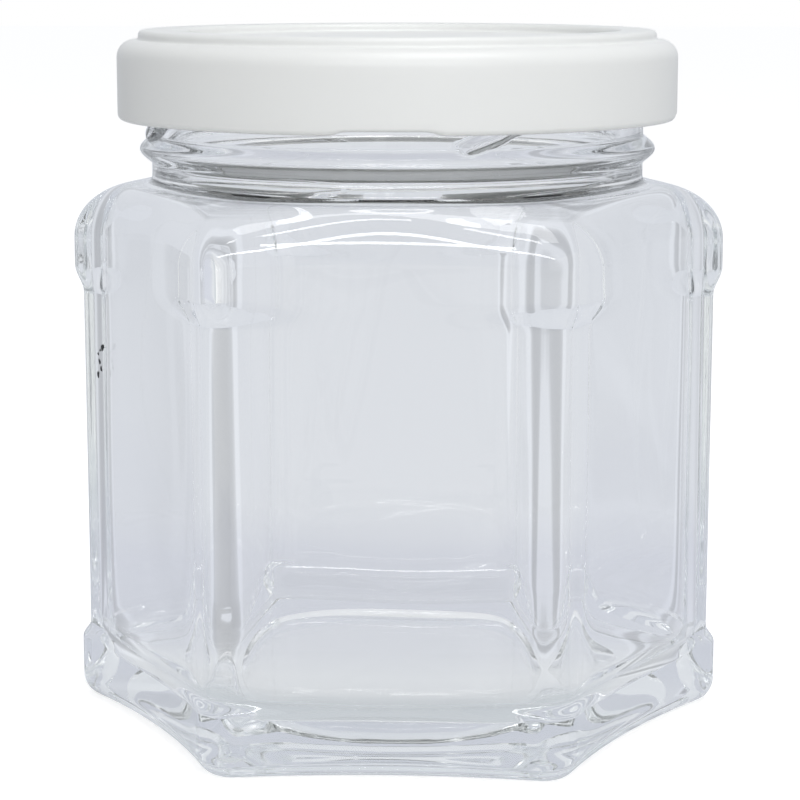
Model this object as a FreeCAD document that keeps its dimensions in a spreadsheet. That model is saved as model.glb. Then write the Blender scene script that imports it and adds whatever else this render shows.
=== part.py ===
import FreeCAD, Part
import os
from math import atan2, cos, degrees, pi, radians, sin, tan

import Sketcher

# Hexagonal glass jar with a twist-off metal cap. Millimetres, +Z up, one side towards -Y.
# The origin is the middle of the foot, on the surface that the jar stands on.

SIZES = {
    # Glass body
    "across_corners": 77.2,         # over two opposite corners, at the heel and the shoulder
    "corner_radius": 4.2,
    "side_hollow": 1.4,             # how far a side curves in from a flat one
    "heel_radius": 2.8,             # rounding under the heel
    "heel_height": 7.4,
    "panel_inset": 1.0,             # a corner lies this far inside its heel and shoulder
    "panel_step": 1.3,              # height of the slope between heel or shoulder and panel
    "roll_start": 53.3,             # height at which the shoulder reaches full width
    "roll_height": 3.3,
    "shoulder_rise": 6.6,           # from the roll to the root of the neck
    # Inside of the body
    "wall": 2.5,                    # in the middle of a label panel
    "inner_corner_radius": 6.2,
    "floor_height": 5.4,            # glass under the contents, with the hollow of the foot
    "floor_radius": 5.0,
    "foot_ring": 3.8,               # flat ring between the heel's rounding and the recess
    "foot_recess_depth": 1.1,
    "foot_recess_slope": 3.3,       # width of the slope between its edge and its flat middle
    "foot_recess_rise": 0.88,       # how far that slope climbs
    "foot_recess_bend": 8.0,
    # Neck and screw finish
    "neck_diameter": 57.8,
    "neck_root": 1.14,              # hollow rounding between shoulder and neck
    "neck_ledge": 0.06,             # flat glass between that rounding and the shoulder
    "neck_wall": 2.7,
    "bead_depth": 1.4,              # how far the bead stands out from the neck
    "bead_rounding": 1.37,
    "bead_rise": 4.2,               # from the root of the neck to the middle of the bead
    "finish_height": 16.55,         # from the root of the neck to the rim
    "rim_rounding": 0.95,
    "thread_starts": 4,
    "thread_depth": 1.6,
    "thread_width": 1.9,
    "thread_under_slope": 0.3,      # how far a thread's underside rises, for each mm of its depth
    "thread_top_slope": 0.4,        # and how far its top falls
    "thread_root": 0.6,             # how far a thread reaches into the neck's glass
    "thread_first_angle": -75,      # where a thread leaves the bead
    # Cap
    "cap_height": 10.3,
    "cap_sheet": 0.25,
    "cap_gap": 0.8,                 # between the threads and the cap's curl
    "cap_edge_radius": 2.0,
    "cap_edge_drop": 1.1,           # from the channel's top to the edge of the cap
    "channel_inside": 0.4,          # the seal's channel starts this far inside the bore
    "channel_outside": 1.4,         # and ends this far outside the neck
    "channel_depth": 1.0,           # the middle of the cap lies this far below the channel's top
    "curl_width": 1.5,
    "curl_height": 1.4,
    "curl_radius": 0.65,
    "channel_bend": 0.35,           # inner radius of the bends in the channel's sides
    "lug_gap": 1.0,                 # between the lip of a lug and the neck
    "lug_play": 1.2,                # between a lug's top and the highest part of a thread's underside
    "lug_angle": 24,                # each lug spans this much of the curl, in degrees
    "lug_dent": 0.45,               # the curl is pressed up this far under a lug
    "dent_slope": 3.0,              # length over which the dent runs out on each side
    # Sealing compound in the cap's channel
    "seal_height": 1.1,
    "seal_gap": 0.2,                # between the compound and the sides of its channel
    "seal_radius": 0.4,
}

# The rounded shoulder has sections at these parts of a quarter turn, in degrees
SHOULDER_TURNS = [0, 18, 36, 54, 72]

# Sections of a thread: degrees along it, share of its full rise over the bead's middle that
# its underside has there, and share of its full depth
THREAD_SECTIONS = [
    (0, 0.07, 0.45),
    (8, 0.32, 0.9),
    (16, 0.58, 1.0),
    (34, 0.77, 1.0),
    (58, 0.88, 1.0),
    (78, 0.97, 0.9),
    (84, 1.0, 0.3),
]

# The slopes above and below the label panel have sections at these shares of their height
STEP_SHARES = [0, 0.3, 0.5, 0.7, 1]

REACH = "(Sizes.across_corners / 2)"
CORNER = "Sizes.corner_radius"
SIDE = f"(({REACH} - {CORNER}) * cos(30) + {CORNER} - Sizes.side_hollow)"

INNER_CORNER = "Sizes.inner_corner_radius"
INNER_SIDE = f"({SIDE} - Sizes.wall)"
INNER_HOLLOW = "(Sizes.side_hollow - Sizes.panel_inset * cos(30))"
INNER_REACH = f"(({INNER_SIDE} + {INNER_HOLLOW} - {INNER_CORNER}) / cos(30) + {INNER_CORNER})"

SHOULDER_BOTTOM = "(Sizes.roll_start + Sizes.roll_height)"
SHOULDER_TOP = f"({SHOULDER_BOTTOM} + Sizes.shoulder_rise)"
NECK = "(Sizes.neck_diameter / 2)"
NECK_ROOT = f"({NECK} + Sizes.neck_root + Sizes.neck_ledge)"
BORE = f"({NECK} - Sizes.neck_wall)"
BEAD = f"({SHOULDER_TOP} + Sizes.bead_rise)"
RIM = f"({SHOULDER_TOP} + Sizes.finish_height)"

CHANNEL_ROOF = f"({RIM} + Sizes.seal_height)"
CAP_TOP = f"({CHANNEL_ROOF} + Sizes.cap_sheet)"
CAP_SIDE = f"({NECK} + Sizes.thread_depth + Sizes.cap_gap + Sizes.curl_width)"
CAP_BOTTOM = f"({CAP_TOP} - Sizes.cap_height)"
CURL_TOP = f"({CAP_BOTTOM} + Sizes.curl_height)"
LUG_BOTTOM = f"({CAP_BOTTOM} + Sizes.lug_dent)"
CHANNEL_INNER = f"({BORE} - Sizes.channel_inside)"
CHANNEL_OUTER = f"({NECK} + Sizes.channel_outside)"

# Numbers that sketches use for the points of their geometry
START, END, CENTRE = 1, 2, 3
ORIGIN = (-1, 1)

doc = FreeCAD.newDocument("HexagonalJar")
sheet = doc.addObject("Spreadsheet::Sheet", "Sizes")
for row, (alias, size) in enumerate(SIZES.items(), start=1):
    sheet.set(f"A{row}", alias)
    sheet.set(f"B{row}", str(size))
    sheet.setAlias(f"B{row}", alias)
doc.recompute()


def value(expression):
    """The number that an expression of the sheet's sizes comes to."""
    return float(sheet.evalExpression(str(expression)))


def origin_feature(body, role):
    return next(feature for feature in body.Origin.OriginFeatures if feature.Role == role)


def new_body(label):
    body = doc.addObject("PartDesign::Body", label)
    body.Label = label
    body.Placement = FreeCAD.Placement()
    return body


def new_sketch(body, name, role, height=None):
    sketch = body.newObject("Sketcher::SketchObject", name)
    sketch.AttachmentSupport = [(origin_feature(body, role), "")]
    sketch.MapMode = "FlatFace"
    if height is not None:
        sketch.setExpression("AttachmentOffset.Base.z", height)
    return sketch


class Rules:
    """Collects a sketch's constraints and binds the driving ones to the sheet."""

    def __init__(self, sketch):
        self.sketch = sketch
        self.constraints = []
        self.drivers = {}

    def add(self, *terms):
        self.constraints.append(Sketcher.Constraint(*terms))

    def bind(self, *terms):
        *places, expression = terms
        self.drivers[len(self.constraints)] = expression
        self.add(*places, value(expression))

    def place(self, geometry, vertex, across, up):
        """Holds a point at two expressions from the sketch's origin."""
        self.bind("DistanceX", *ORIGIN, geometry, vertex, across)
        self.bind("DistanceY", *ORIGIN, geometry, vertex, up)

    def apply(self):
        self.sketch.addConstraint(self.constraints)
        for index, expression in self.drivers.items():
            self.sketch.setExpression(f"Constraints[{index}]", expression)


def polar(distance, degrees):
    return FreeCAD.Vector(distance * cos(radians(degrees)), distance * sin(radians(degrees)), 0)


def arc(centre, radius, middle, half):
    """An arc through the angle middle, running half an arc to each side, all in degrees."""
    circle = Part.Circle(centre, FreeCAD.Vector(0, 0, 1), radius)
    return Part.ArcOfCircle(circle, radians(middle - half), radians(middle + half))


def hexagon(body, name, reach, side, radius, height):
    """A six-sided outline with round corners and arched sides that run into them smoothly.

    reach is the distance from the axis to a corner, side the one to the middle of a side.
    A side curves in where its corners are rounder than a flat side would leave, else out.
    """
    sketch = new_sketch(body, name, "XY_Plane", height)
    corner = value(radius)
    middle = value(side)
    centre = value(reach) - corner
    flat_corner = middle - centre * cos(pi / 6)
    squares = (centre / 2) ** 2 + flat_corner ** 2 - corner ** 2
    side_radius = squares / (2 * (corner - flat_corner))
    side_centre = middle + side_radius
    side_half = degrees(atan2(centre / 2, abs(side_centre - centre * cos(pi / 6))))
    curves_in = corner > flat_corner
    corner_half = 30 + side_half if curves_in else 30 - side_half
    side_start, side_end = (END, START) if curves_in else (START, END)
    for turn in range(0, 360, 60):
        sketch.addGeometry(arc(polar(centre, turn), corner, turn, corner_half))
    for turn in range(30, 390, 60):
        facing = turn + 180 if curves_in else turn
        sketch.addGeometry(arc(polar(side_centre, turn), abs(side_radius), facing, side_half))
    for turn in range(30, 390, 60):
        sketch.addGeometry(Part.Point(polar(middle, turn)), True)
    rules = Rules(sketch)
    for k in range(6):
        corner_arc, side_arc, side_point = k, 6 + k, 12 + k
        turn = 60 * k
        inset = f"({reach} - {radius})"
        rules.place(corner_arc, CENTRE, f"{inset} * cos({turn})", f"{inset} * sin({turn})")
        rules.place(side_point, START, f"{side} * cos({turn + 30})", f"{side} * sin({turn + 30})")
        rules.add("PointOnObject", side_point, START, side_arc)
        rules.add("Tangent", corner_arc, END, side_arc, side_start)
        rules.add("Tangent", side_arc, side_end, (k + 1) % 6, START)
        if k > 0:
            rules.add("Equal", 0, corner_arc)
    rules.bind("Radius", 0, radius)
    rules.apply()
    return sketch


def circle(body, name, radius, height):
    sketch = new_sketch(body, name, "XY_Plane", height)
    sketch.addGeometry(Part.Circle(FreeCAD.Vector(), FreeCAD.Vector(0, 0, 1), value(radius)))
    rules = Rules(sketch)
    rules.add("Coincident", 0, CENTRE, *ORIGIN)
    rules.bind("Radius", 0, radius)
    rules.apply()
    return sketch


def outline(body, name, corners):
    """A closed outline in the XZ plane, from corners (distance, height, rounding or None)."""
    sketch = new_sketch(body, name, "XZ_Plane")
    count = len(corners)
    spots = [FreeCAD.Vector(value(across), value(up), 0) for across, up, _ in corners]
    ways = [(spots[(k + 1) % count] - spots[k]).normalize() for k in range(count)]
    half_turns = [ways[k - 1].getAngle(ways[k]) / 2 for k in range(count)]
    radii = [0 if rounding is None else value(rounding) for _, _, rounding in corners]
    cuts = [radius * tan(half) for radius, half in zip(radii, half_turns)]
    for k in range(count):
        following = (k + 1) % count
        start = spots[k] + ways[k] * cuts[k]
        end = spots[following] - ways[k] * cuts[following]
        sketch.addGeometry(Part.LineSegment(start, end))
    rules = Rules(sketch)
    for k, (across, up, rounding) in enumerate(corners):
        before, after = (k - 1) % count, k
        if rounding is None:
            rules.add("Coincident", before, END, after, START)
            rules.place(after, START, across, up)
            continue
        inward = (ways[k] - ways[k - 1]).normalize()
        centre = spots[k] + inward * (radii[k] / cos(half_turns[k]))
        facing = degrees(atan2(-inward.y, -inward.x))
        bend = sketch.addGeometry(arc(centre, radii[k], facing, degrees(half_turns[k])))
        spot = sketch.addGeometry(Part.Point(spots[k]), True)
        turns_left = ways[k - 1].cross(ways[k]).z > 0
        bend_start, bend_end = (START, END) if turns_left else (END, START)
        rules.add("Tangent", before, END, bend, bend_start)
        rules.add("Tangent", bend, bend_end, after, START)
        rules.bind("Radius", bend, rounding)
        rules.place(spot, START, across, up)
        rules.add("PointOnObject", spot, START, before)
        rules.add("PointOnObject", spot, START, after)
    rules.apply()
    return sketch


def loft(body, name, kind, sections, ruled=False):
    feature = body.newObject(f"PartDesign::{kind}", name)
    feature.Profile = sections[0]
    feature.Sections = sections[1:]
    feature.Ruled = ruled
    return feature


def turned(body, name, kind, sketch):
    """A Revolution or a Groove of the sketch round the jar's axis."""
    feature = body.newObject(f"PartDesign::{kind}", name)
    feature.Profile = sketch
    feature.ReferenceAxis = (sketch, ["V_Axis"])
    feature.Angle = 360
    return feature


def pressed(body, name, kind, sketch, length, backwards=False):
    """A Pad or a Pocket of the sketch."""
    feature = body.newObject(f"PartDesign::{kind}", name)
    feature.Profile = sketch
    feature.setExpression("Length", length)
    feature.Reversed = backwards
    return feature


def rounded(body, name, base, heights, radius):
    """Rounds the level edges of the base feature that lie at the given heights."""
    doc.recompute()
    levels = [value(height) for height in heights]
    names = []
    for number, edge in enumerate(base.Shape.Edges, start=1):
        box = edge.BoundBox
        if box.ZLength < 1e-4 and any(abs(box.Center.z - level) < 1e-4 for level in levels):
            names.append(f"Edge{number}")
    feature = body.newObject("PartDesign::Fillet", name)
    feature.Base = (base, names)
    feature.setExpression("Radius", radius)
    return feature


def repeated(body, name, originals, count):
    """The features again round the jar's axis, with even turns between them."""
    pattern = body.newObject("PartDesign::PolarPattern", name)
    pattern.Originals = originals
    pattern.Axis = (origin_feature(body, "Z_Axis"), [""])
    pattern.Angle = 360
    pattern.setExpression("Occurrences", count)
    body.Tip = pattern
    return pattern


def body_section(body, name, inset, height):
    """The glass body's outline, with its corners drawn in and its sides where they are."""
    return hexagon(body, name, f"({REACH} - {inset})", SIDE, CORNER, height)


def shoulder_sections(body, name, reach, side, corner, end, bottom):
    """Outlines that go from the hexagon to the round neck as the shoulder curves over."""
    sections = []
    for turn in SHOULDER_TURNS:
        this_reach = f"({end} + ({reach} - {end}) * cos({turn}))"
        this_side = f"({end} + ({side} - {end}) * cos({turn}))"
        bend = f"({this_reach} + ({reach} ^ 2 / {corner} - {reach}) * cos({turn}))"
        this_corner = f"({this_reach} ^ 2 / {bend})"
        height = f"{bottom} + Sizes.shoulder_rise * sin({turn})"
        sections.append(hexagon(body, f"{name}_{turn}", this_reach, this_side, this_corner, height))
    sections.append(circle(body, f"{name}_top", end, f"{bottom} + Sizes.shoulder_rise"))
    return sections


def add_walls(body):
    full = "0"
    lower = []
    upper = []
    for share in STEP_SHARES:
        inset = f"Sizes.panel_inset * (1 - cos(180 * {share})) / 2"
        rise = f"Sizes.panel_step * {share}"
        number = round(100 * share)
        lower.append((f"lower_step_{number}", inset, f"Sizes.heel_height + {rise}"))
        upper.insert(0, (f"upper_step_{number}", inset, f"Sizes.roll_start - {rise}"))
    levels = [("foot", full, "0")] + lower + upper + [("roll_top", full, SHOULDER_BOTTOM)]
    sections = [body_section(body, *level) for level in levels]
    walls = loft(body, "walls", "AdditiveLoft", sections, ruled=True)
    rounded(body, "heel", walls, ["0"], "Sizes.heel_radius")


def add_neck(body):
    bead_low = f"({BEAD} - Sizes.bead_depth)"
    bead_high = f"({BEAD} + Sizes.bead_depth)"
    bead_side = f"({NECK} + Sizes.bead_depth)"
    corners = [
        ("0", SHOULDER_TOP, None),
        (NECK_ROOT, SHOULDER_TOP, None),
        (NECK, SHOULDER_TOP, "Sizes.neck_root"),
        (NECK, bead_low, None),
        (bead_side, bead_low, "Sizes.bead_rounding"),
        (bead_side, bead_high, "Sizes.bead_rounding"),
        (NECK, bead_high, None),
        (NECK, RIM, None),
        ("0", RIM, None),
    ]
    turned(body, "neck", "Revolution", outline(body, "neck_outline", corners))


def add_threads(body):
    root = f"({NECK} - Sizes.thread_root)"
    full_rise = f"({CURL_TOP} + Sizes.lug_play - {BEAD})"
    sections = []
    for along, rise, share in THREAD_SECTIONS:
        depth = f"(Sizes.thread_depth * {share})"
        tip = f"({NECK} + {depth})"
        underside = f"({BEAD} + {full_rise} * {rise})"
        top = f"({underside} + Sizes.thread_width)"
        corners = [
            (root, underside, None),
            (tip, f"{underside} + {depth} * Sizes.thread_under_slope", None),
            (tip, f"{top} - {depth} * Sizes.thread_top_slope", None),
            (root, top, None),
        ]
        sketch = outline(body, f"thread_at_{along}", corners)
        upright = FreeCAD.Rotation(FreeCAD.Vector(0, 1, 0), 1)
        sketch.AttachmentOffset = FreeCAD.Placement(FreeCAD.Vector(), upright)
        sketch.setExpression("AttachmentOffset.Rotation.Angle", f"Sizes.thread_first_angle + {along}")
        sections.append(sketch)
    thread = loft(body, "thread", "AdditiveLoft", sections)
    repeated(body, "threads", [thread], "Sizes.thread_starts")


def hollow_out(body):
    cavity = hexagon(body, "cavity_outline", INNER_REACH, INNER_SIDE, INNER_CORNER, SHOULDER_BOTTOM)
    pocket = pressed(body, "cavity", "Pocket", cavity, f"{SHOULDER_BOTTOM} - Sizes.floor_height")
    rounded(body, "cavity_floor", pocket, ["Sizes.floor_height"], "Sizes.floor_radius")
    sections = shoulder_sections(body, "inner_shoulder", INNER_REACH, INNER_SIDE, INNER_CORNER,
                                 BORE, SHOULDER_BOTTOM)
    loft(body, "inner_shoulder", "SubtractiveLoft", sections)
    mouth = circle(body, "mouth", BORE, RIM)
    bore = pressed(body, "bore", "Pocket", mouth, f"{RIM} - {SHOULDER_TOP}")
    rounded(body, "rim", bore, [RIM], "Sizes.rim_rounding")


def recess_foot(body):
    edge = f"({SIDE} - Sizes.heel_radius - Sizes.foot_ring)"
    corners = [
        ("0", "0", None),
        (edge, "0", None),
        (f"{edge} - Sizes.foot_recess_slope", "Sizes.foot_recess_rise", "Sizes.foot_recess_bend"),
        ("0", "Sizes.foot_recess_depth", None),
    ]
    turned(body, "foot_recess", "Groove", outline(body, "foot_recess_outline", corners))


def make_glass():
    body = new_body("glass_jar")
    add_walls(body)
    sections = shoulder_sections(body, "shoulder", REACH, SIDE, CORNER, NECK_ROOT, SHOULDER_BOTTOM)
    loft(body, "shoulder", "AdditiveLoft", sections)
    add_neck(body)
    hollow_out(body)
    recess_foot(body)
    add_threads(body)
    return body


def add_cap_sheet(body):
    """The pressed sheet: middle, channel for the seal, edge, skirt and inward curl."""
    sheet_thickness = "Sizes.cap_sheet"
    middle = f"({CAP_TOP} - Sizes.channel_depth)"
    edge = f"({CAP_TOP} - Sizes.cap_edge_drop)"
    inner = CHANNEL_INNER
    outer = CHANNEL_OUTER
    curl_side = f"({CAP_SIDE} - Sizes.curl_width)"
    curl_end = f"({CAP_SIDE} - 2 * {sheet_thickness})"
    tight = "Sizes.channel_bend"
    wide = f"({tight} + {sheet_thickness})"
    curl = "Sizes.curl_radius"
    curl_inside = f"({curl} - {sheet_thickness})"
    edge_inside = f"(Sizes.cap_edge_radius - {sheet_thickness})"
    outside = [
        ("0", middle, None),
        (inner, middle, tight),
        (inner, CAP_TOP, wide),
        (outer, CAP_TOP, wide),
        (outer, edge, tight),
        (CAP_SIDE, edge, "Sizes.cap_edge_radius"),
        (CAP_SIDE, CAP_BOTTOM, curl),
        (curl_side, CAP_BOTTOM, curl),
        (curl_side, CURL_TOP, curl),
        (curl_end, CURL_TOP, None),
    ]
    inside = [
        (curl_end, f"{CURL_TOP} - {sheet_thickness}", None),
        (f"{curl_side} + {sheet_thickness}", f"{CURL_TOP} - {sheet_thickness}", curl_inside),
        (f"{curl_side} + {sheet_thickness}", f"{CAP_BOTTOM} + {sheet_thickness}", curl_inside),
        (f"{CAP_SIDE} - {sheet_thickness}", f"{CAP_BOTTOM} + {sheet_thickness}", curl_inside),
        (f"{CAP_SIDE} - {sheet_thickness}", f"{edge} - {sheet_thickness}", edge_inside),
        (f"{outer} - {sheet_thickness}", f"{edge} - {sheet_thickness}", wide),
        (f"{outer} - {sheet_thickness}", f"{CAP_TOP} - {sheet_thickness}", tight),
        (f"{inner} + {sheet_thickness}", f"{CAP_TOP} - {sheet_thickness}", tight),
        (f"{inner} + {sheet_thickness}", f"{middle} - {sheet_thickness}", wide),
        ("0", f"{middle} - {sheet_thickness}", None),
    ]
    turned(body, "pressed_sheet", "Revolution", outline(body, "sheet_outline", outside + inside))


def add_lugs(body):
    """Flattened stretches of the curl that reach in under the threads."""
    facing = -90
    half = "Sizes.lug_angle / 2"
    rims = [f"({NECK} + Sizes.lug_gap)", f"({CAP_SIDE} - Sizes.cap_sheet / 2)"]
    sketch = new_sketch(body, "lug_outline", "XY_Plane", LUG_BOTTOM)
    rules = Rules(sketch)
    reaches = [value(reach) for reach in rims]
    half_angle = value(half)
    for reach in reaches:
        sketch.addGeometry(arc(FreeCAD.Vector(), reach, facing, half_angle))
    for way in (-1, 1):
        ends = [polar(reach, facing + way * half_angle) for reach in reaches]
        sketch.addGeometry(Part.LineSegment(*ends))
    for rim, reach in enumerate(rims):
        rules.bind("Radius", rim, reach)
        for line, way, vertex in ((2, "-", START), (3, "+", END)):
            line_vertex = START + rim
            angle = f"({facing} {way} {half})"
            rules.add("Coincident", rim, vertex, line, line_vertex)
            rules.place(line, line_vertex, f"{reach} * cos({angle})", f"{reach} * sin({angle})")
    rules.apply()
    lug = pressed(body, "lug", "Pad", sketch, "Sizes.curl_height - Sizes.lug_dent")
    flat = f"({CAP_SIDE} * sin({half}) - Sizes.dent_slope)"
    wide = f"({CAP_SIDE} * sin({half}))"
    corners = [
        (f"-{wide}", CAP_BOTTOM, None),
        (wide, CAP_BOTTOM, None),
        (flat, LUG_BOTTOM, None),
        (f"-{flat}", LUG_BOTTOM, None),
    ]
    dent = pressed(body, "dent", "Pocket", outline(body, "dent_outline", corners), CAP_SIDE, True)
    repeated(body, "lugs", [lug, dent], "Sizes.thread_starts")


def make_cap():
    body = new_body("cap_shell")
    add_cap_sheet(body)
    add_lugs(body)
    return body


def make_seal():
    body = new_body("seal_ring")
    inner = f"({CHANNEL_INNER} + Sizes.cap_sheet + Sizes.seal_gap)"
    outer = f"({CHANNEL_OUTER} - Sizes.cap_sheet - Sizes.seal_gap)"
    corners = [
        (inner, RIM, None),
        (outer, RIM, None),
        (outer, CHANNEL_ROOF, "Sizes.seal_radius"),
        (inner, CHANNEL_ROOF, "Sizes.seal_radius"),
    ]
    turned(body, "ring", "Revolution", outline(body, "ring_outline", corners))
    return body


pieces = [make_glass(), make_cap(), make_seal()]
doc.recompute()

for feature in doc.Objects:
    if "Invalid" in feature.State or "Error" in feature.State:
        raise ValueError(f"{feature.Label} failed: {feature.State}")
for piece in pieces:
    if piece.Shape.isNull() or not piece.Shape.isValid():
        raise ValueError(f"{piece.Label} has no valid shape")
    if len(piece.Shape.Solids) != 1:
        raise ValueError(f"{piece.Label} isn't one solid")

os.makedirs("parts", exist_ok=True)
for piece in pieces:
    piece.Shape.exportStep(f"parts/{piece.Label}.step")
    print(piece.Label, round(piece.Shape.Volume, 1), piece.Shape.BoundBox)
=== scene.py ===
from math import atan2, cos, degrees, pi, radians, sin, tan

import bpy
import numpy as np
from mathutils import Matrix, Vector


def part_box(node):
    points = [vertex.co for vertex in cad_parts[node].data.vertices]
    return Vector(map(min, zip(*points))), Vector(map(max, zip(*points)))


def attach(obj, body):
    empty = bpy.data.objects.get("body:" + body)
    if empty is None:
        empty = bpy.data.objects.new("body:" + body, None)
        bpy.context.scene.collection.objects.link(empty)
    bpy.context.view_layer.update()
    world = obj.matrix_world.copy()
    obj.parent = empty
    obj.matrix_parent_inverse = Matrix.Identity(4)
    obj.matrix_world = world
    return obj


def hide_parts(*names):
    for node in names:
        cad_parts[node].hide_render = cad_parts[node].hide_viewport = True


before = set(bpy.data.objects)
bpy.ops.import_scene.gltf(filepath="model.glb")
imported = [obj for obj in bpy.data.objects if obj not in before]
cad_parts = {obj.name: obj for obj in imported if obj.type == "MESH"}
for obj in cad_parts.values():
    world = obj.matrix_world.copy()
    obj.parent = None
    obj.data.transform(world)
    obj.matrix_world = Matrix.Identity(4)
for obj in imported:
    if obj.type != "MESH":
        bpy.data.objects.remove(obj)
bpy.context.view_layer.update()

MM = 0.001
GLASS_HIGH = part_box("glass_jar")[1]
CAP_LOW, CAP_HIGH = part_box("cap_shell")

# Glass body, in metres. The levels and widths that the frame gives come from it.
REACH = GLASS_HIGH.x                     # from the axis to a corner
CORNER = 4.2 * MM
HOLLOW = 1.4 * MM                        # how far the middle of a side curves in from a flat one
SIDE = (REACH - CORNER) * cos(pi / 6) + CORNER - HOLLOW
HEEL_RADIUS = 2.8 * MM
HEEL_TOP = 7.4 * MM
CORNER_INSET = 1.0 * MM                  # a corner of the panels lies this far inside heel and shoulder
HEEL_STEP = 2.0 * MM
SHOULDER_STEP = 3.4 * MM
ROLL_START = 53.3 * MM
ROLL_TOP = 56.6 * MM
SHOULDER_RISE = 6.6 * MM
SHOULDER_TOP = ROLL_TOP + SHOULDER_RISE
WALL = 2.5 * MM
INNER_CORNER = 6.2 * MM
INNER_SIDE = SIDE - WALL
INNER_HOLLOW = HOLLOW - CORNER_INSET * cos(pi / 6)
INNER_REACH = (INNER_SIDE + INNER_HOLLOW - INNER_CORNER) / cos(pi / 6) + INNER_CORNER
FLOOR = 5.4 * MM
FLOOR_RADIUS = 5.0 * MM
FLOOR_DOME = 0.4 * MM                    # how far the floor rises in the middle
WAVINESS = 0.09 * MM                     # of the blown inside
# Waves round it: how many, how strong, where they start and how they turn over 10 mm of height
WAVES = [(2, 1, 0.9, 0.5), (3, 0.6, -0.6, 0.8), (5, 0.45, 2.1, -1.1), (9, 0.2, 0.4, 1.7)]
WAVE_CLIMB = 10 * MM
RECESS = 26.0 * MM
RECESS_DEPTH = 1.1 * MM
RECESS_FLATNESS = 8                      # the higher, the flatter its middle
NECK = 28.9 * MM
NECK_ROOT = 1.14 * MM
NECK_LEDGE = 0.06 * MM
BORE = 26.2 * MM
BEAD = 67.4 * MM
BEAD_DEPTH = 1.4 * MM
BEAD_HALF = BEAD_DEPTH * 1.15            # half its height
BEAD_SHARPNESS = 1.2
RIM = GLASS_HIGH.z
RIM_ROUNDING = 0.95 * MM

# Screw threads on the neck
THREAD_STARTS = 4
THREAD_FIRST = -75                       # degrees round the jar, where a thread leaves the bead
THREAD_DEPTH = 1.6 * MM
THREAD_WIDTH = 1.9 * MM
THREAD_RISE = 6.0 * MM                   # of its underside over the middle of the bead
THREAD_SPAN = 84                         # degrees
SKIN = 0.05 * MM                         # how far inside the neck's radius still counts as its outside
# Along a thread, as shares of its span: its underside's rise and its depth; then its depth across
THREAD_UNDERSIDES = [(0, 0.07), (0.095, 0.32), (0.19, 0.58), (0.405, 0.77), (0.69, 0.88),
                     (0.93, 0.97), (1, 1)]
THREAD_DEPTHS = [(0, 0), (0.012, 0.3), (0.06, 0.85), (0.16, 1), (0.88, 1), (0.945, 0.75),
                 (0.985, 0.3), (1, 0)]
THREAD_SECTION = [(0, 0), (0.1, 0.35), (0.27, 0.94), (0.4, 1), (0.6, 1), (0.72, 0.92), (0.9, 0.3),
                  (1, 0)]

# Cap, pressed from lacquered tinplate
SHEET = 0.25 * MM
CAP_TOP = CAP_HIGH.z
CAP_BOTTOM = CAP_LOW.z
CAP_SIDE = CAP_HIGH.x
CAP_MIDDLE = CAP_TOP - 1.0 * MM
CAP_EDGE = CAP_TOP - 1.1 * MM
CAP_EDGE_RADIUS = 2.0 * MM
CHANNEL_INNER = BORE - 0.4 * MM
CHANNEL_OUTER = NECK + 1.4 * MM
CHANNEL_BEND = 0.35 * MM
CURL_SIDE = CAP_SIDE - 1.5 * MM
CURL_TOP = CAP_BOTTOM + 1.4 * MM
CURL_RADIUS = 0.65 * MM
LUG_REACH = CURL_SIDE - NECK - 1.0 * MM  # how far a lug reaches in from the curl
LUG_HALF_ANGLE = 12
LUG_RUN_OUT = 5                          # degrees over which each end of a lug fades out
LUG_DENT = 0.45 * MM
LUG_FACING = -90
LUG_FADE = [(0, 0), (0.25, 0.1), (0.75, 0.9), (1, 1)]   # along the run out
CURL_SKIN = 0.01 * MM                    # how far above the curl's top still counts as the curl
PEEL_GRAIN = MM / 0.9                    # orange peel of the lacquer
PEEL_RELIEF = 0.02 * MM

# Specks of dirt
SPECK_FACING = 210                       # degrees round the jar, the way they all face
SPECK_SIDES = 20
SPECK_OUT = 0.05 * MM                    # of its middle from the glass, outside and inside
SPECK_SUNK = 0.02 * MM
# Waves round its outline: how many, how strong, how they shift from speck to speck
SPECK_WOBBLE = [(2, 0.18, 1), (3, 0.12, 2.4)]
# Degrees round the jar, height, half width and half height
SPECKS = [
    (189.4, 44.0 * MM, 0.5 * MM, 0.42 * MM),
    (188.4, 43.6 * MM, 0.2 * MM, 0.2 * MM),
    (187.6, 43.1 * MM, 0.22 * MM, 0.22 * MM),
    (188.1, 42.2 * MM, 0.32 * MM, 0.34 * MM),
    (188.7, 41.4 * MM, 0.34 * MM, 0.3 * MM),
    (187.4, 40.6 * MM, 0.4 * MM, 0.36 * MM),
]

# Fineness of the meshes and how far fire polish melts the joins
HALF_SIDE_STEPS = 36                     # columns of the glass from a corner to mid-side
CROWDING = 1.55                          # over 1, its columns lie closer at the corners
RECESS_ROWS = 14
HEEL_ROWS = 9
HEEL_STEP_ROWS = 9
PANEL_ROWS = 8
SHOULDER_STEP_ROWS = 13
SHOULDER_ROWS = 20
NECK_ROOT_ROWS = 5
BEAD_ROWS = 17
SCREW_ROWS = 46
RIM_ROWS = 6
BORE_ROWS = 8
INNER_SHOULDER_ROWS = 16
INNER_WALL_ROWS = 20
INNER_FLOOR_ROWS = 10
INNER_FLOOR_RINGS = 12
CENTRE_SHARE = 0.08                      # the innermost ring, as a share of the outermost
CAP_COLUMNS = 288
CAP_CENTRE_SHARE = 0.05
CAP_ROW_GAP = 0.9 * MM
CAP_BEND_STEP = 12                       # degrees
OUTER_MELT = 0.4                         # degrees over which fire polish rounds the joins
INNER_MELT = 3.2

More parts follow.
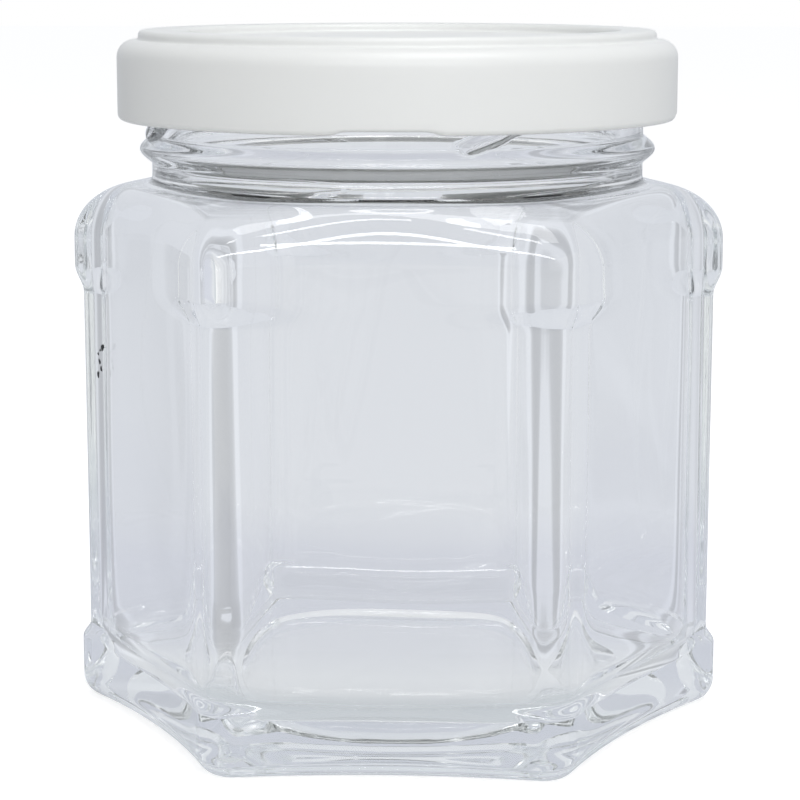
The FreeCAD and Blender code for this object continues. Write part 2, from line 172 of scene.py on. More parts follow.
# Camera
CAMERA_DISTANCE = 293.85 * MM            # level distance from the jar's axis
CAMERA_HEIGHT = 89.41 * MM
CAMERA_TURN = 2.1                        # degrees round the jar, towards +X from the front
CAMERA_DIP = 10.13                       # degrees below level
CAMERA_LENS = 111.55
CAMERA_SENSOR = 36
CAMERA_SHIFT = 0.0033
CAMERA_CLIP = 0.01

# Room, paper and lamps
ROOM_TONES = [(-1, "C9CDD4"), (0, "D8DCE3"), (0.5, "E3E6EB"), (1, "EEF0F3")]
ROOM_LIGHT = 0.5                         # of the room on what isn't glass
ROOM_DIM_SIDE = 0.6                      # the room lights the jar less from the left
ROOM_BRIGHT_SIDE = 1.1
PAPER_LIFT = 0.62                        # the light that the paper gives off for the eye

# Painted light and shade that the glass shows in place of the white paper: a tone by how far behind
# the jar's axis it lies, in mm, and how much lighter or darker it is by how steeply the look through
# a corner turns aside
PAPER_DEPTH = (-80, 160)
PAINTED_LIGHT_AND_SHADE_TONES = [(-37, "F6F8F8"), (-35.5, "F6F8F8"), (-34, "C6CCD1"), (-22, "CCD2D7"), (-12, "DADEE2"),
               (-4, "DEE2E6"), (8, "D3D7DF"), (20, "CFD3DD"), (70, "CDD1DC"), (84, "D3D7E0"),
               (105, "DADEE5")]
PAPER_START = 25 * MM                    # to the side of the axis, where the turning aside begins
PAPER_TURN = 2                           # the steepest, as the way aside over the way behind
PAPER_LIGHTEST = 1.16                    # no share is above this
# Painted shade and highlights in the corners: the low shares paint dark columns, the high ones bright
# lines
PAINTED_LIGHT_AND_SHADE_SHARES = [(-2, 1.12), (-1.6, 0.92), (-1.3, 0.8), (-1.2, 1.1), (-1.11, 1.1), (-1.05, 0.8),
                (-0.92, 0.62), (-0.7, 0.68), (-0.5, 0.92), (-0.46, 1.15), (-0.39, 1.15), (-0.355, 1),
                (0.14, 1), (0.16, 1.14), (0.185, 1.14), (0.2, 0.92), (0.24, 0.64), (0.28, 0.68),
                (0.3, 1.05), (0.34, 1.05), (0.4, 0.8), (0.6, 0.92), (1.3, 1.1), (2, 1.12)]
PAPER_NEAREST = 15 * MM                  # the least way behind that the turning aside is taken over
PAPER_SHOWN = 0.85                       # share of that tone, over the lit paper with its shadow
PAPER_HALF = 3.0                         # half the width of the sheet
LIGHT_BOUNCES = 32                       # light turns many times inside the thick corners

LAMP_AIM = Vector((0, 0, 0.04))
# Name, place, width, height and power
LAMPS = [
    ("overhead_softbox", (0.1, -0.15, 0.6), 0.35, 0.35, 1.3),
    ("front_softbox", (0.3, -0.8, 0.3), 0.5, 0.5, 0.45),
    ("arch_strip", (-0.02, -0.55, 0.31), 0.55, 0.035, 0.6),
    ("upper_front_strip", (-0.06, -0.39, 0.52), 0.12, 0.04, 0.12),
]


def column_angles():
    """Angles round the jar, closest together at the corners."""
    half = [30 * (k / HALF_SIDE_STEPS) ** CROWDING for k in range(HALF_SIDE_STEPS + 1)]
    sector = half[:-1] + [60 - turn for turn in reversed(half)][:-1]
    return np.radians([60 * corner + turn for corner in range(6) for turn in sector])


ANGLES = column_angles()


def hexagon(reach, side, corner):
    """Distance from the axis to a hexagon with round corners and hollow sides, at ANGLES."""
    centre = reach - corner
    flat_corner = side - centre * cos(pi / 6)
    squares = (centre / 2) ** 2 + flat_corner ** 2 - corner ** 2
    side_radius = squares / (2 * (corner - flat_corner))
    side_centre = side + side_radius
    bend = atan2(centre / 2, side_centre - centre * cos(pi / 6)) + pi / 6
    join = atan2(corner * sin(bend), centre + corner * cos(bend))
    turn = np.abs((ANGLES + pi / 6) % (pi / 3) - pi / 6)
    reach_on = np.sqrt(np.maximum(corner ** 2 - (centre * np.sin(turn)) ** 2, 0))
    on_corner = centre * np.cos(turn) + reach_on
    off = pi / 6 - turn
    on_side = side_centre * np.cos(off) - np.sqrt(side_radius ** 2 - (side_centre * np.sin(off)) ** 2)
    return np.where(turn < join, on_corner, on_side)


def softened(radii, degrees_round):
    """The outline with the joins of its arcs melted together."""
    off = np.degrees((ANGLES[:, None] - ANGLES[None, :] + pi) % (2 * pi) - pi)
    widths = np.degrees((np.roll(ANGLES, -1) - np.roll(ANGLES, 1)) % (2 * pi)) / 2
    weights = np.exp(-0.5 * (off / degrees_round) ** 2) * widths
    return (weights * radii).sum(axis=1) / weights.sum(axis=1)


def outside(inset=0.0, drawn_in=0.0):
    """The body's outline: inset all round, and its corners drawn in while its sides stay."""
    reach = REACH - inset - drawn_in
    melted = softened(hexagon(reach, SIDE - inset, CORNER - inset), OUTER_MELT)
    return melted * reach / melted.max()


def inside(inset=0.0):
    """The hollow's outline, inset all round."""
    drawn = hexagon(INNER_REACH - inset, INNER_SIDE - inset, INNER_CORNER - inset)
    return softened(drawn, INNER_MELT)


def turns(steps, start=0.0, end=90.0):
    """Angles from start to end degrees, both included, in radians."""
    return np.radians(np.linspace(start, end, steps + 1))


def whole(radius):
    """A round ring of this radius, at ANGLES."""
    return np.full(len(ANGLES), radius)


def soft_step(share):
    return (1 - cos(pi * share)) / 2


def unevenness(height):
    """How far the blown inside of the glass wanders from its drawn shape, at ANGLES."""
    up = height / WAVE_CLIMB
    return WAVINESS * sum(strength * np.sin(count * ANGLES + start + twist * up)
                          for count, strength, start, twist in WAVES)


def foot_rings():
    """The recess under the jar, out to the flat ring that it stands on."""
    rings = []
    for share in np.linspace(CENTRE_SHARE, 1, RECESS_ROWS):
        rings.append((whole(RECESS * share), RECESS_DEPTH * (1 - share ** RECESS_FLATNESS)))
    ring_edge = outside(HEEL_RADIUS)
    for share in (0.25, 0.5, 0.75):
        rings.append((RECESS + (ring_edge - RECESS) * share, 0.0))
    return rings


def wall_rings():
    """Heel, label panel and the upright part of the shoulder."""
    rings = []
    for turn in turns(HEEL_ROWS):
        rings.append((outside(HEEL_RADIUS * (1 - sin(turn))), HEEL_RADIUS * (1 - cos(turn))))
    for share in np.linspace(0, 1, HEEL_STEP_ROWS):
        rings.append((outside(drawn_in=CORNER_INSET * soft_step(share)), HEEL_TOP + HEEL_STEP * share))
    panel_bottom = HEEL_TOP + HEEL_STEP
    panel_top = ROLL_START - SHOULDER_STEP
    for share in np.linspace(0, 1, PANEL_ROWS)[1:-1]:
        height = panel_bottom + (panel_top - panel_bottom) * share
        rings.append((outside(drawn_in=CORNER_INSET), height))
    for share in np.linspace(0, 1, SHOULDER_STEP_ROWS):
        drawn_in = CORNER_INSET * (1 - soft_step(share))
        rings.append((outside(drawn_in=drawn_in), panel_top + SHOULDER_STEP * share))
    return rings


def shoulder_rings():
    """From the hexagon of the roll in to the round foot of the neck."""
    end = NECK + NECK_ROOT + NECK_LEDGE
    rings = []
    for turn in turns(SHOULDER_ROWS):
        rings.append((end + (outside() - end) * cos(turn), ROLL_TOP + SHOULDER_RISE * sin(turn)))
    return rings


def neck_rings():
    """Root, bead, screw zone and rim on the outside of the neck."""
    rings = []
    for turn in turns(NECK_ROOT_ROWS):
        radius = NECK + NECK_ROOT * (1 - sin(turn))
        rings.append((whole(radius), SHOULDER_TOP + NECK_ROOT * (1 - cos(turn))))
    for share in np.linspace(0, 1, BEAD_ROWS):
        bulge = BEAD_DEPTH * sin(pi * share) ** BEAD_SHARPNESS if 0 < share < 1 else 0
        rings.append((whole(NECK + bulge), BEAD + BEAD_HALF * (2 * share - 1)))
    screw_bottom = BEAD + BEAD_HALF
    screw_top = RIM - RIM_ROUNDING
    for share in np.linspace(0, 1, SCREW_ROWS)[1:-1]:
        rings.append((whole(NECK), screw_bottom + (screw_top - screw_bottom) * share))
    for turn in turns(RIM_ROWS):
        radius = NECK - RIM_ROUNDING * (1 - cos(turn))
        rings.append((whole(radius), screw_top + RIM_ROUNDING * sin(turn)))
    return rings


def bore_rings():
    """From the rim down the inside to the shoulder."""
    rings = []
    for turn in turns(RIM_ROWS, 90, 0):
        radius = BORE + RIM_ROUNDING * (1 - cos(turn))
        rings.append((whole(radius), RIM - RIM_ROUNDING * (1 - sin(turn))))
    bore_top = RIM - RIM_ROUNDING
    for share in np.linspace(0, 1, BORE_ROWS)[1:-1]:
        rings.append((whole(BORE), bore_top - (bore_top - SHOULDER_TOP) * share))
    return rings


def cavity_rings():
    """The inside of the body: shoulder, walls and floor, none of them quite true."""
    rings = []
    for turn in turns(INNER_SHOULDER_ROWS, 90, 0):
        height = ROLL_TOP + SHOULDER_RISE * sin(turn)
        radius = BORE + (inside() - BORE) * cos(turn)
        rings.append((radius + unevenness(height) * cos(turn), height))
    floor_edge = FLOOR + FLOOR_RADIUS
    for share in np.linspace(0, 1, INNER_WALL_ROWS)[1:-1]:
        height = ROLL_TOP - (ROLL_TOP - floor_edge) * share
        rings.append((inside() + unevenness(height), height))
    for turn in turns(INNER_FLOOR_ROWS):
        height = floor_edge - FLOOR_RADIUS * sin(turn)
        rings.append((inside(FLOOR_RADIUS * (1 - cos(turn))) + unevenness(height), height))
    edge = inside(FLOOR_RADIUS) + unevenness(FLOOR)
    for share in np.linspace(1, CENTRE_SHARE, INNER_FLOOR_RINGS)[1:]:
        rings.append((edge * share, FLOOR + FLOOR_DOME * (1 - share ** 2)))
    return rings


def turned_mesh(name, rings, angles, low_pole, high_pole):
    """A closed mesh from rings of (radii, height) with a point on the axis at each end."""
    columns = len(angles)
    points = [np.array([[0, 0, low_pole]])]
    for radii, height in rings:
        points.append(np.column_stack([radii * np.cos(angles), radii * np.sin(angles),
                                       np.full(columns, height)]))
    points.append(np.array([[0, 0, high_pole]]))
    here = np.arange(columns)
    after = (here + 1) % columns
    faces = [(0, 1 + b, 1 + a) for a, b in zip(here, after)]
    for row in range(len(rings) - 1):
        base = 1 + row * columns
        top = base + columns
        faces += list(zip(base + here, base + after, top + after, top + here))
    base = 1 + (len(rings) - 1) * columns
    pole = base + columns
    faces += [(base + a, base + b, pole) for a, b in zip(here, after)]
    mesh = bpy.data.meshes.new(name)
    mesh.from_pydata(np.vstack(points).tolist(), [], [[int(v) for v in face] for face in faces])
    mesh.update()
    mesh.shade_smooth()
    piece = bpy.data.objects.new(name, mesh)
    bpy.context.scene.collection.objects.link(piece)
    return piece


def node(tree, kind, settings=None, inputs=None):
    """A node with its settings, and its inputs set to a value or linked to a socket."""
    made = tree.nodes.new(kind)
    for setting, choice in (settings or {}).items():
        setattr(made, setting, choice)
    for socket, given in (inputs or {}).items():
        if isinstance(given, bpy.types.NodeSocket):
            tree.links.new(given, made.inputs[socket])
        else:
            made.inputs[socket].default_value = given
    return made


def shaped(tree, value, points):
    """A smooth curve through the points, read at value."""
    made = node(tree, "ShaderNodeFloatCurve", inputs={"Value": value})
    curve = made.mapping.curves[0]
    for spot, place in zip(curve.points, (points[0], points[-1])):
        spot.location = place
    for place in points[1:-1]:
        curve.points.new(*place)
    for spot in curve.points:
        spot.handle_type = "AUTO_CLAMPED"
    made.mapping.update()
    return made.outputs["Value"]


def sum_of(tree, operation, *values, clamp=False):
    """The result of a Math node fed with numbers or sockets."""
    settings = {"operation": operation, "use_clamp": clamp}
    return node(tree, "ShaderNodeMath", settings, dict(enumerate(values))).outputs[0]


def new_rule(name, sizes, whole_numbers=()):
    """A Geometry Nodes tree with an input for each size, and its group input node."""
    tree = bpy.data.node_groups.new(name, "GeometryNodeTree")
    tree.interface.new_socket("Geometry", in_out="INPUT", socket_type="NodeSocketGeometry")
    tree.interface.new_socket("Geometry", in_out="OUTPUT", socket_type="NodeSocketGeometry")
    for size in sizes:
        kind = "NodeSocketInt" if size in whole_numbers else "NodeSocketFloat"
        tree.interface.new_socket(size, in_out="INPUT", socket_type=kind)
    tree.interface.new_socket("Material", in_out="INPUT", socket_type="NodeSocketMaterial")
    return tree, tree.nodes.new("NodeGroupInput").outputs


def finish_rule(tree, geometry, material):
    made = node(tree, "GeometryNodeRealizeInstances", inputs={"Geometry": geometry}).outputs[0]
    made = node(tree, "GeometryNodeSetMaterial", inputs={"Geometry": made, "Material": material})
    node(tree, "NodeGroupOutput", inputs={"Geometry": made.outputs[0]})


def follow_rule(piece, tree, sizes):
    """Runs the tree on the piece with these sizes and keeps the plain mesh it gives."""
    rule = piece.modifiers.new(tree.name, "NODES")
    rule.node_group = tree
    for item in tree.interface.items_tree:
        if item.in_out == "INPUT" and item.name in sizes:
            rule[item.identifier] = sizes[item.name]
    seen = piece.evaluated_get(bpy.context.evaluated_depsgraph_get())
    mesh = bpy.data.meshes.new_from_object(seen)
    piece.modifiers.remove(rule)
    piece.data = mesh
    mesh.shade_smooth()


def position_round_axis(tree):
    """Each vertex's angle and distance from the axis, its height, and the way straight out."""
    place = node(tree, "GeometryNodeInputPosition").outputs[0]
    across = node(tree, "ShaderNodeSeparateXYZ", inputs={0: place}).outputs
    level = node(tree, "ShaderNodeCombineXYZ", inputs={0: across[0], 1: across[1]}).outputs[0]
    angle = sum_of(tree, "ARCTAN2", across[1], across[0])
    distance = node(tree, "ShaderNodeVectorMath", {"operation": "LENGTH"}, {0: level}).outputs["Value"]
    out = node(tree, "ShaderNodeVectorMath", {"operation": "NORMALIZE"}, {0: level}).outputs[0]
    return angle, distance, across[2], out


def moved(tree, geometry, chosen, out, outward, upward):
    """The geometry with its chosen vertices moved outward and upward."""
    sideways = node(tree, "ShaderNodeVectorMath", {"operation": "SCALE"}, {
        0: out, 3: outward}).outputs[0]
    up = node(tree, "ShaderNodeCombineXYZ", inputs={2: upward}).outputs[0]
    way = node(tree, "ShaderNodeVectorMath", {"operation": "ADD"}, {0: sideways, 1: up}).outputs[0]
    made = node(tree, "GeometryNodeSetPosition", inputs={
        "Geometry": geometry, "Selection": chosen, "Offset": way})
    return made.outputs[0]


def screw_threads_rule():
    """Raises the turns of a screw from a plain neck, each a curve along and a curve across."""
    tree, given = new_rule("screw_threads", [
        "Starts", "First Angle", "Span", "Depth", "Width", "Rise", "Bead Height", "Neck Radius"],
        whole_numbers=["Starts"])
    angle, distance, height, out = position_round_axis(tree)
    along = sum_of(tree, "SUBTRACT", angle, given["First Angle"])
    turn = sum_of(tree, "DIVIDE", 2 * pi, given["Starts"])
    along = sum_of(tree, "MULTIPLY", sum_of(tree, "FRACT", sum_of(tree, "DIVIDE", along, turn)), turn)
    along = sum_of(tree, "DIVIDE", along, given["Span"], clamp=True)
    underside = sum_of(tree, "MULTIPLY", shaped(tree, along, THREAD_UNDERSIDES), given["Rise"])
    underside = sum_of(tree, "ADD", underside, given["Bead Height"])
    depth = sum_of(tree, "MULTIPLY", shaped(tree, along, THREAD_DEPTHS), given["Depth"])
    rise = sum_of(tree, "SUBTRACT", height, underside)
    rise = sum_of(tree, "DIVIDE", rise, given["Width"], clamp=True)
    bulge = sum_of(tree, "MULTIPLY", shaped(tree, rise, THREAD_SECTION), depth)
    target = sum_of(tree, "ADD", bulge, given["Neck Radius"])
    outward = sum_of(tree, "MAXIMUM", sum_of(tree, "SUBTRACT", target, distance), 0.0)
    neck_skin = sum_of(tree, "SUBTRACT", given["Neck Radius"], SKIN)
    on_neck = sum_of(tree, "GREATER_THAN", distance, neck_skin)
    above_bead = sum_of(tree, "GREATER_THAN", height, given["Bead Height"])
    chosen = sum_of(tree, "MULTIPLY", on_neck, above_bead)
    finish_rule(tree, moved(tree, given["Geometry"], chosen, out, outward, 0.0), given["Material"])
    return tree


def cap_lugs_rule():
    """Presses stretches of a cap's curl flat and inwards, with soft ends."""
    tree, given = new_rule("cap_lugs", [
        "Lugs", "Facing", "Half Angle", "Run Out", "Reach", "Dent", "Curl Width", "Curl Height",
        "Cap Side", "Cap Bottom"], whole_numbers=["Lugs"])
    angle, distance, height, out = position_round_axis(tree)
    turn = sum_of(tree, "DIVIDE", 2 * pi, given["Lugs"])
    off = sum_of(tree, "DIVIDE", sum_of(tree, "SUBTRACT", angle, given["Facing"]), turn)
    off = sum_of(tree, "SUBTRACT", sum_of(tree, "FRACT", sum_of(tree, "ADD", off, 0.5)), 0.5)
    off = sum_of(tree, "MULTIPLY", sum_of(tree, "ABSOLUTE", off), turn)
    inside_end = sum_of(tree, "SUBTRACT", given["Half Angle"], off)
    share = sum_of(tree, "DIVIDE", inside_end, given["Run Out"], clamp=True)
    share = shaped(tree, share, LUG_FADE)
    into_curl = sum_of(tree, "SUBTRACT", given["Cap Side"], distance)
    into_curl = sum_of(tree, "DIVIDE", sum_of(tree, "SUBTRACT", into_curl, 2 * SHEET),
                       sum_of(tree, "SUBTRACT", given["Curl Width"], 2 * SHEET), clamp=True)
    reach = sum_of(tree, "MULTIPLY", sum_of(tree, "MULTIPLY", into_curl, share), given["Reach"])
    low = sum_of(tree, "SUBTRACT", height, given["Cap Bottom"])
    low = sum_of(tree, "DIVIDE", low, given["Curl Height"])
    low = sum_of(tree, "SUBTRACT", 1.0, low, clamp=True)
    dent = sum_of(tree, "MULTIPLY", sum_of(tree, "MULTIPLY", low, share), given["Dent"])
    curl_top = sum_of(tree, "ADD", given["Cap Bottom"], given["Curl Height"])
    in_curl = sum_of(tree, "LESS_THAN", height, sum_of(tree, "ADD", curl_top, CURL_SKIN))
    inward = sum_of(tree, "MULTIPLY", reach, -1.0)
    finish_rule(tree, moved(tree, given["Geometry"], in_curl, out, inward, dent), given["Material"])
    return tree


def rounded_outline(corners):
    """Points along corners (distance, height, rounding), with the long stretches divided."""
    stops = []
    for k, (across, up, rounding) in enumerate(corners):
        here = Vector((across, up))
        if not rounding:
            stops.append([here])
            continue
        back = (Vector(corners[k - 1][:2]) - here).normalized()
        ahead = (Vector(corners[k + 1][:2]) - here).normalized()
        half = back.angle(ahead) / 2
        centre = here + (back + ahead).normalized() * (rounding / sin(half))
        first = here + back * (rounding / tan(half)) - centre
        last = here + ahead * (rounding / tan(half)) - centre
        bend = pi - 2 * half
        steps = max(4, round(degrees(bend) / CAP_BEND_STEP))
        stops.append([centre + (first * sin((1 - s) * bend) + last * sin(s * bend)) / sin(bend)
                      for s in np.linspace(0, 1, steps + 1)])
    points = list(stops[0])
    for stop in stops[1:]:
        gap = (stop[0] - points[-1]).length
        cuts = int(gap / CAP_ROW_GAP)
        points += [points[-1].lerp(stop[0], cut / (cuts + 1)) for cut in range(1, cuts + 1)]
        points += stop
    return points


def linear(hex_colour):
    """An sRGB hex colour as linear RGBA."""
    channels = [int(hex_colour[k:k + 2], 16) / 255 for k in (0, 2, 4)]
    return [c / 12.92 if c <= 0.04045 else ((c + 0.055) / 1.055) ** 2.4 for c in channels] + [1.0]


def new_material(name):
    material = bpy.data.materials.new(name)
    material.use_nodes = True
    material.node_tree.nodes.clear()
    return material, material.node_tree


def soda_lime_glass():
    """Clear container glass, pressed and blown: colourless thin, faintly blue-green thick."""
    material, tree = new_material("soda_lime_glass")
    shader = node(tree, "ShaderNodeBsdfPrincipled", inputs={
        "Base Color": linear("FFFFFF"), "Roughness": 0.0, "IOR": 1.52, "Transmission Weight": 1.0})
    absorption = node(tree, "ShaderNodeVolumeAbsorption", inputs={
        "Color": linear("C9D8D8"), "Density": 2.2})
    node(tree, "ShaderNodeOutputMaterial", inputs={
        "Surface": shader.outputs["BSDF"], "Volume": absorption.outputs["Volume"]})
    return material


def old_dirt():
    """Dry dark dirt, matt."""
    material, tree = new_material("dried_dirt")
    shader = node(tree, "ShaderNodeBsdfPrincipled", inputs={
        "Base Color": linear("2A2E30"), "Roughness": 0.7})
    node(tree, "ShaderNodeOutputMaterial", inputs={"Surface": shader.outputs["BSDF"]})
    return material


def seal_compound():
    """Foamed sealing compound: matt, faintly off-white."""
    material, tree = new_material("foamed_seal_compound")
    shader = node(tree, "ShaderNodeBsdfPrincipled", inputs={
        "Base Color": linear("E4E3DC"), "Roughness": 0.8})
    node(tree, "ShaderNodeOutputMaterial", inputs={"Surface": shader.outputs["BSDF"]})
    return material


def white_lacquer():
    """Stoved white lacquer on tinplate: glossy, with the faint orange peel of a roller coat."""
    material, tree = new_material("white_lacquered_tinplate")
    place = node(tree, "ShaderNodeTexCoord")
    peel = node(tree, "ShaderNodeTexNoise", inputs={
        "Vector": place.outputs["Object"], "Scale": 1 / PEEL_GRAIN, "Detail": 2.0})
    relief = node(tree, "ShaderNodeBump", inputs={
        "Height": peel.outputs["Fac"], "Strength": 0.08, "Distance": PEEL_RELIEF})
    shader = node(tree, "ShaderNodeBsdfPrincipled", inputs={
        "Base Color": linear("F1F2F0"), "Roughness": 0.32, "Normal": relief.outputs["Normal"]})
    node(tree, "ShaderNodeOutputMaterial", inputs={"Surface": shader.outputs["BSDF"]})
    return material


def make_glass(material):
    rings = foot_rings() + wall_rings() + shoulder_rings() + neck_rings()
    rings += bore_rings() + cavity_rings()
    glass = turned_mesh("hexagonal_glass", rings, ANGLES, RECESS_DEPTH, FLOOR + FLOOR_DOME)
    follow_rule(glass, screw_threads_rule(), {
        "Starts": THREAD_STARTS, "First Angle": radians(THREAD_FIRST), "Span": radians(THREAD_SPAN),
        "Depth": THREAD_DEPTH, "Width": THREAD_WIDTH, "Rise": THREAD_RISE, "Bead Height": BEAD,
        "Neck Radius": NECK, "Material": material})
    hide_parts("glass_jar")
    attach(glass, "root")


def make_specks(material):
    """Dark specks of dirt near the left corner, flat drops on the glass."""
    panel = outside(drawn_in=CORNER_INSET)
    out = Vector((cos(radians(SPECK_FACING)), sin(radians(SPECK_FACING)), 0))
    for number, (turn, height, half_width, half_height) in enumerate(SPECKS):
        radius = np.interp(radians(turn), ANGLES, panel) - SPECK_SUNK
        middle = Vector((radius * cos(radians(turn)), radius * sin(radians(turn)), height))
        along = Vector((-out.y, out.x, 0))
        angles = np.linspace(0, 2 * pi, SPECK_SIDES, endpoint=False)
        wobble = 1 + sum(strength * np.sin(count * angles + shift * number)
                         for count, strength, shift in SPECK_WOBBLE)
        points = [middle + out * (SPECK_OUT + SPECK_SUNK), middle - out * SPECK_OUT]
        for angle, stretch in zip(angles, wobble):
            across = along * (half_width * stretch * cos(angle))
            points.append(middle + across + Vector((0, 0, half_height * stretch * sin(angle))))
        faces = []
        for k in range(SPECK_SIDES):
            here, after = 2 + k, 2 + (k + 1) % SPECK_SIDES
            faces += [(0, here, after), (1, after, here)]
        mesh = bpy.data.meshes.new(f"dirt_speck_{number + 1}")
        mesh.from_pydata(points, [], faces)
        mesh.shade_smooth()
        mesh.materials.append(material)
        speck = bpy.data.objects.new(mesh.name, mesh)
        bpy.context.scene.collection.objects.link(speck)
        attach(speck, "root")


def make_cap(material):
    below_edge = CAP_EDGE - SHEET
    below_top = CAP_TOP - SHEET
    below_middle = CAP_MIDDLE - SHEET
    wide_bend = CHANNEL_BEND + SHEET
    inner_curl = CURL_RADIUS - SHEET
    path = rounded_outline([
        (CHANNEL_INNER * CAP_CENTRE_SHARE, below_middle, None),
        (CHANNEL_INNER + SHEET, below_middle, wide_bend),
        (CHANNEL_INNER + SHEET, below_top, CHANNEL_BEND),
        (CHANNEL_OUTER - SHEET, below_top, CHANNEL_BEND),
        (CHANNEL_OUTER - SHEET, below_edge, wide_bend),
        (CAP_SIDE - SHEET, below_edge, CAP_EDGE_RADIUS - SHEET),
        (CAP_SIDE - SHEET, CAP_BOTTOM + SHEET, inner_curl),
        (CURL_SIDE + SHEET, CAP_BOTTOM + SHEET, inner_curl),
        (CURL_SIDE + SHEET, CURL_TOP - SHEET, inner_curl),
        (CAP_SIDE - 2 * SHEET, CURL_TOP - SHEET, None),
        (CAP_SIDE - 2 * SHEET, CURL_TOP, None),
        (CURL_SIDE, CURL_TOP, CURL_RADIUS),
        (CURL_SIDE, CAP_BOTTOM, CURL_RADIUS),
        (CAP_SIDE, CAP_BOTTOM, CURL_RADIUS),
        (CAP_SIDE, CAP_EDGE, CAP_EDGE_RADIUS),
        (CHANNEL_OUTER, CAP_EDGE, CHANNEL_BEND),
        (CHANNEL_OUTER, CAP_TOP, wide_bend),
        (CHANNEL_INNER, CAP_TOP, wide_bend),
        (CHANNEL_INNER, CAP_MIDDLE, CHANNEL_BEND),
        (CHANNEL_INNER * CAP_CENTRE_SHARE, CAP_MIDDLE, None)])
    angles = np.radians(np.arange(CAP_COLUMNS) * 360 / CAP_COLUMNS)
    rings = [(np.full(CAP_COLUMNS, across), up) for across, up in path]
    cap = turned_mesh("twist_off_cap", rings, angles, below_middle, CAP_MIDDLE)
    follow_rule(cap, cap_lugs_rule(), {
        "Lugs": THREAD_STARTS, "Facing": radians(LUG_FACING), "Half Angle": radians(LUG_HALF_ANGLE),
        "Run Out": radians(LUG_RUN_OUT), "Reach": LUG_REACH, "Dent": LUG_DENT,
        "Curl Width": CAP_SIDE - CURL_SIDE, "Curl Height": CURL_TOP - CAP_BOTTOM,
        "Cap Side": CAP_SIDE, "Cap Bottom": CAP_BOTTOM, "Material": material})
    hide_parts("cap_shell")
    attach(cap, "root")


def set_camera():
    camera = bpy.data.objects.new("camera", bpy.data.cameras.new("camera"))
    camera.data.sensor_width = CAMERA_SENSOR
    camera.data.lens = CAMERA_LENS
    camera.data.shift_x = CAMERA_SHIFT
    camera.data.clip_start = CAMERA_CLIP
    turn = radians(CAMERA_TURN)
    camera.location = (CAMERA_DISTANCE * sin(turn), -CAMERA_DISTANCE * cos(turn), CAMERA_HEIGHT)
    camera.rotation_euler = (radians(90 - CAMERA_DIP), 0, turn)
    bpy.context.scene.collection.objects.link(camera)
    bpy.context.scene.camera = camera


def tone_by(tree, value, low, high, tones):
    """Colour ramp over a value: tones lists (value, colour), with value from low to high."""
    share = node(tree, "ShaderNodeMapRange", inputs={0: value, 1: low, 2: high}).outputs[0]
    ramp = node(tree, "ShaderNodeValToRGB", inputs={0: share})
    stops = ramp.color_ramp.elements
    while len(stops) < len(tones):
        stops.new(1.0)
    for stop, (place, colour) in zip(stops, tones):
        stop.position = (place - low) / (high - low)
        stop.color = linear(colour)
    return ramp.outputs[0]


def seen_plainly(tree):
    """1 for what the eye, a reflection or a look through the glass meets, 0 for lighting; and then
    1 for the eye alone."""
    path = node(tree, "ShaderNodeLightPath").outputs
    seen = sum_of(tree, "MAXIMUM", path["Is Camera Ray"], path["Is Glossy Ray"])
    return sum_of(tree, "MAXIMUM", seen, path["Is Transmission Ray"]), path["Is Camera Ray"]


def set_room():
    """A white sweep behind the jar in a pale grey-blue room that the glass takes its tone from."""
    world = bpy.data.worlds.new("studio")
    bpy.context.scene.world = world
    world.use_nodes = True
    tree = world.node_tree
    tree.nodes.clear()
    seen, to_camera = seen_plainly(tree)
    way = node(tree, "ShaderNodeTexCoord").outputs["Generated"]
    up = node(tree, "ShaderNodeSeparateXYZ", inputs={0: way}).outputs[2]
    tone = tone_by(tree, up, -1, 1, ROOM_TONES)
    room = node(tree, "ShaderNodeBackground", inputs={"Color": tone, "Strength": 1.0})
    sweep = node(tree, "ShaderNodeBackground", inputs={"Color": linear("FFFFFF"), "Strength": 1.0})
    aside = node(tree, "ShaderNodeSeparateXYZ", inputs={0: way}).outputs[0]
    level = node(tree, "ShaderNodeMapRange", inputs={
        0: aside, 1: -1.0, 2: 0.6, 3: ROOM_DIM_SIDE * ROOM_LIGHT,
        4: ROOM_BRIGHT_SIDE * ROOM_LIGHT}).outputs[0]
    light = node(tree, "ShaderNodeBackground", inputs={"Color": linear("F2F4F7"), "Strength": level})
    looked_at = node(tree, "ShaderNodeMixShader", inputs={
        0: to_camera, 1: room.outputs[0], 2: sweep.outputs[0]})
    mixed = node(tree, "ShaderNodeMixShader", inputs={
        0: seen, 1: light.outputs[0], 2: looked_at.outputs[0]})
    node(tree, "ShaderNodeOutputWorld", inputs={"Surface": mixed.outputs[0]})


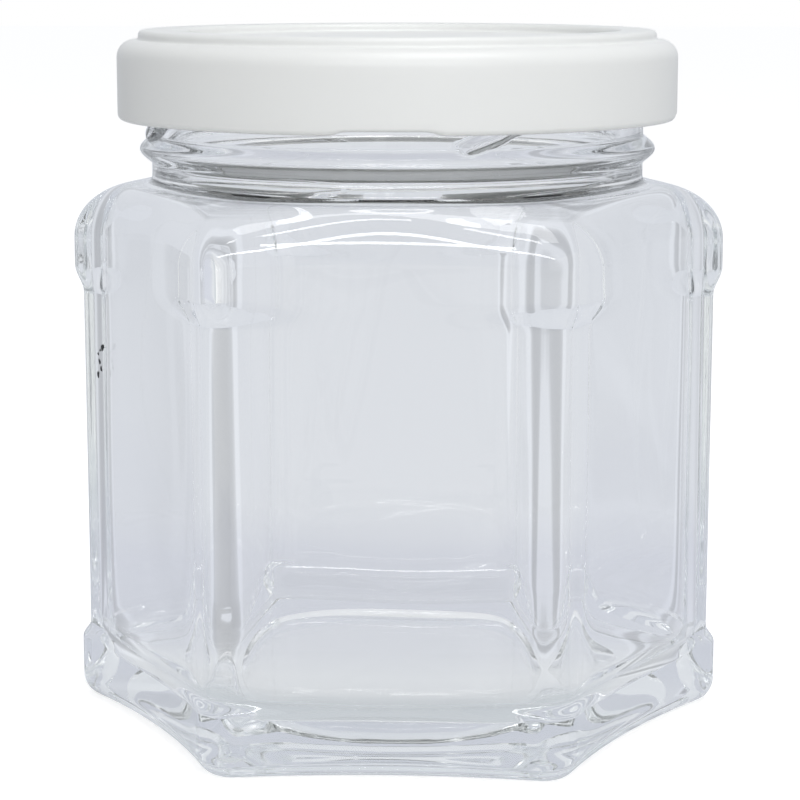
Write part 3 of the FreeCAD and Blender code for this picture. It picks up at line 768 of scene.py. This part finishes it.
def paper_floor():
    """White paper under the jar: lifted to white for the eye, with the jar's shadow kept.
    Reflections and looks through the glass meet painted light and shade instead: the glowing tones and
    shares above. They are made up, not real marks on a sheet, and they only suit the camera above."""
    material, tree = new_material("white_paper_with_painted_light_and_shade")
    seen, to_camera = seen_plainly(tree)
    matt = node(tree, "ShaderNodeBsdfDiffuse", inputs={"Color": linear("F4F4F4")})
    lift = node(tree, "ShaderNodeEmission", inputs={
        "Color": linear("FFFFFF"), "Strength": sum_of(tree, "MULTIPLY", to_camera, PAPER_LIFT)})
    lit = node(tree, "ShaderNodeAddShader", inputs={0: matt.outputs[0], 1: lift.outputs[0]})
    place = node(tree, "ShaderNodeNewGeometry").outputs["Position"]
    spot = node(tree, "ShaderNodeSeparateXYZ", inputs={0: place}).outputs
    behind = sum_of(tree, "DIVIDE", spot[1], MM)
    tone = tone_by(tree, behind, *PAPER_DEPTH, PAINTED_LIGHT_AND_SHADE_TONES)
    left = sum_of(tree, "MINIMUM", sum_of(tree, "ADD", spot[0], PAPER_START), 0.0)
    right = sum_of(tree, "MAXIMUM", sum_of(tree, "SUBTRACT", spot[0], PAPER_START), 0.0)
    away = sum_of(tree, "MAXIMUM", spot[1], PAPER_NEAREST)
    turned = sum_of(tree, "DIVIDE", sum_of(tree, "ADD", left, right), away)
    turned = sum_of(tree, "ADD", sum_of(tree, "DIVIDE", turned, 2 * PAPER_TURN), 0.5, clamp=True)
    shares = [(0.5 + place / PAPER_TURN / 2, share / PAPER_LIGHTEST) for place, share in PAINTED_LIGHT_AND_SHADE_SHARES]
    strength = sum_of(tree, "MULTIPLY", shaped(tree, turned, shares), PAPER_LIGHTEST)
    # Painted light and shade: the paper glows in these tones and shares for reflections and looks
    # through the glass
    painted_light_and_shade = node(tree, "ShaderNodeEmission", inputs={"Color": tone, "Strength": strength})
    share = sum_of(tree, "MULTIPLY", sum_of(tree, "SUBTRACT", seen, to_camera), PAPER_SHOWN)
    both = node(tree, "ShaderNodeMixShader", inputs={
        0: share, 1: lit.outputs[0], 2: painted_light_and_shade.outputs[0]})
    node(tree, "ShaderNodeOutputMaterial", inputs={"Surface": both.outputs[0]})
    mesh = bpy.data.meshes.new("floor")
    corners = [(-PAPER_HALF, -PAPER_HALF, 0), (PAPER_HALF, -PAPER_HALF, 0),
               (PAPER_HALF, PAPER_HALF, 0), (-PAPER_HALF, PAPER_HALF, 0)]
    mesh.from_pydata(corners, [], [(0, 1, 2, 3)])
    floor = bpy.data.objects.new("floor", mesh)
    floor.data.materials.append(material)
    bpy.context.scene.collection.objects.link(floor)


def softbox(name, place, width, height, power):
    """A lamp with a rectangular face turned to the jar."""
    data = bpy.data.lights.new(name, "AREA")
    data.shape = "RECTANGLE"
    data.size = width
    data.size_y = height
    data.energy = power
    lamp = bpy.data.objects.new(name, data)
    lamp.location = place
    lamp.rotation_euler = (LAMP_AIM - Vector(place)).to_track_quat("-Z", "Y").to_euler()
    bpy.context.scene.collection.objects.link(lamp)


scene = bpy.context.scene
scene.view_settings.view_transform = "Standard"
scene.cycles.max_bounces = LIGHT_BOUNCES
scene.cycles.glossy_bounces = LIGHT_BOUNCES
scene.cycles.transmission_bounces = LIGHT_BOUNCES
make_glass(soda_lime_glass())
make_specks(old_dirt())
make_cap(white_lacquer())
seal = seal_compound()
for piece_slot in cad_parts["seal_ring"].material_slots:
    piece_slot.material = seal
set_camera()
set_room()
paper_floor()
for lamp in LAMPS:
    softbox(*lamp)
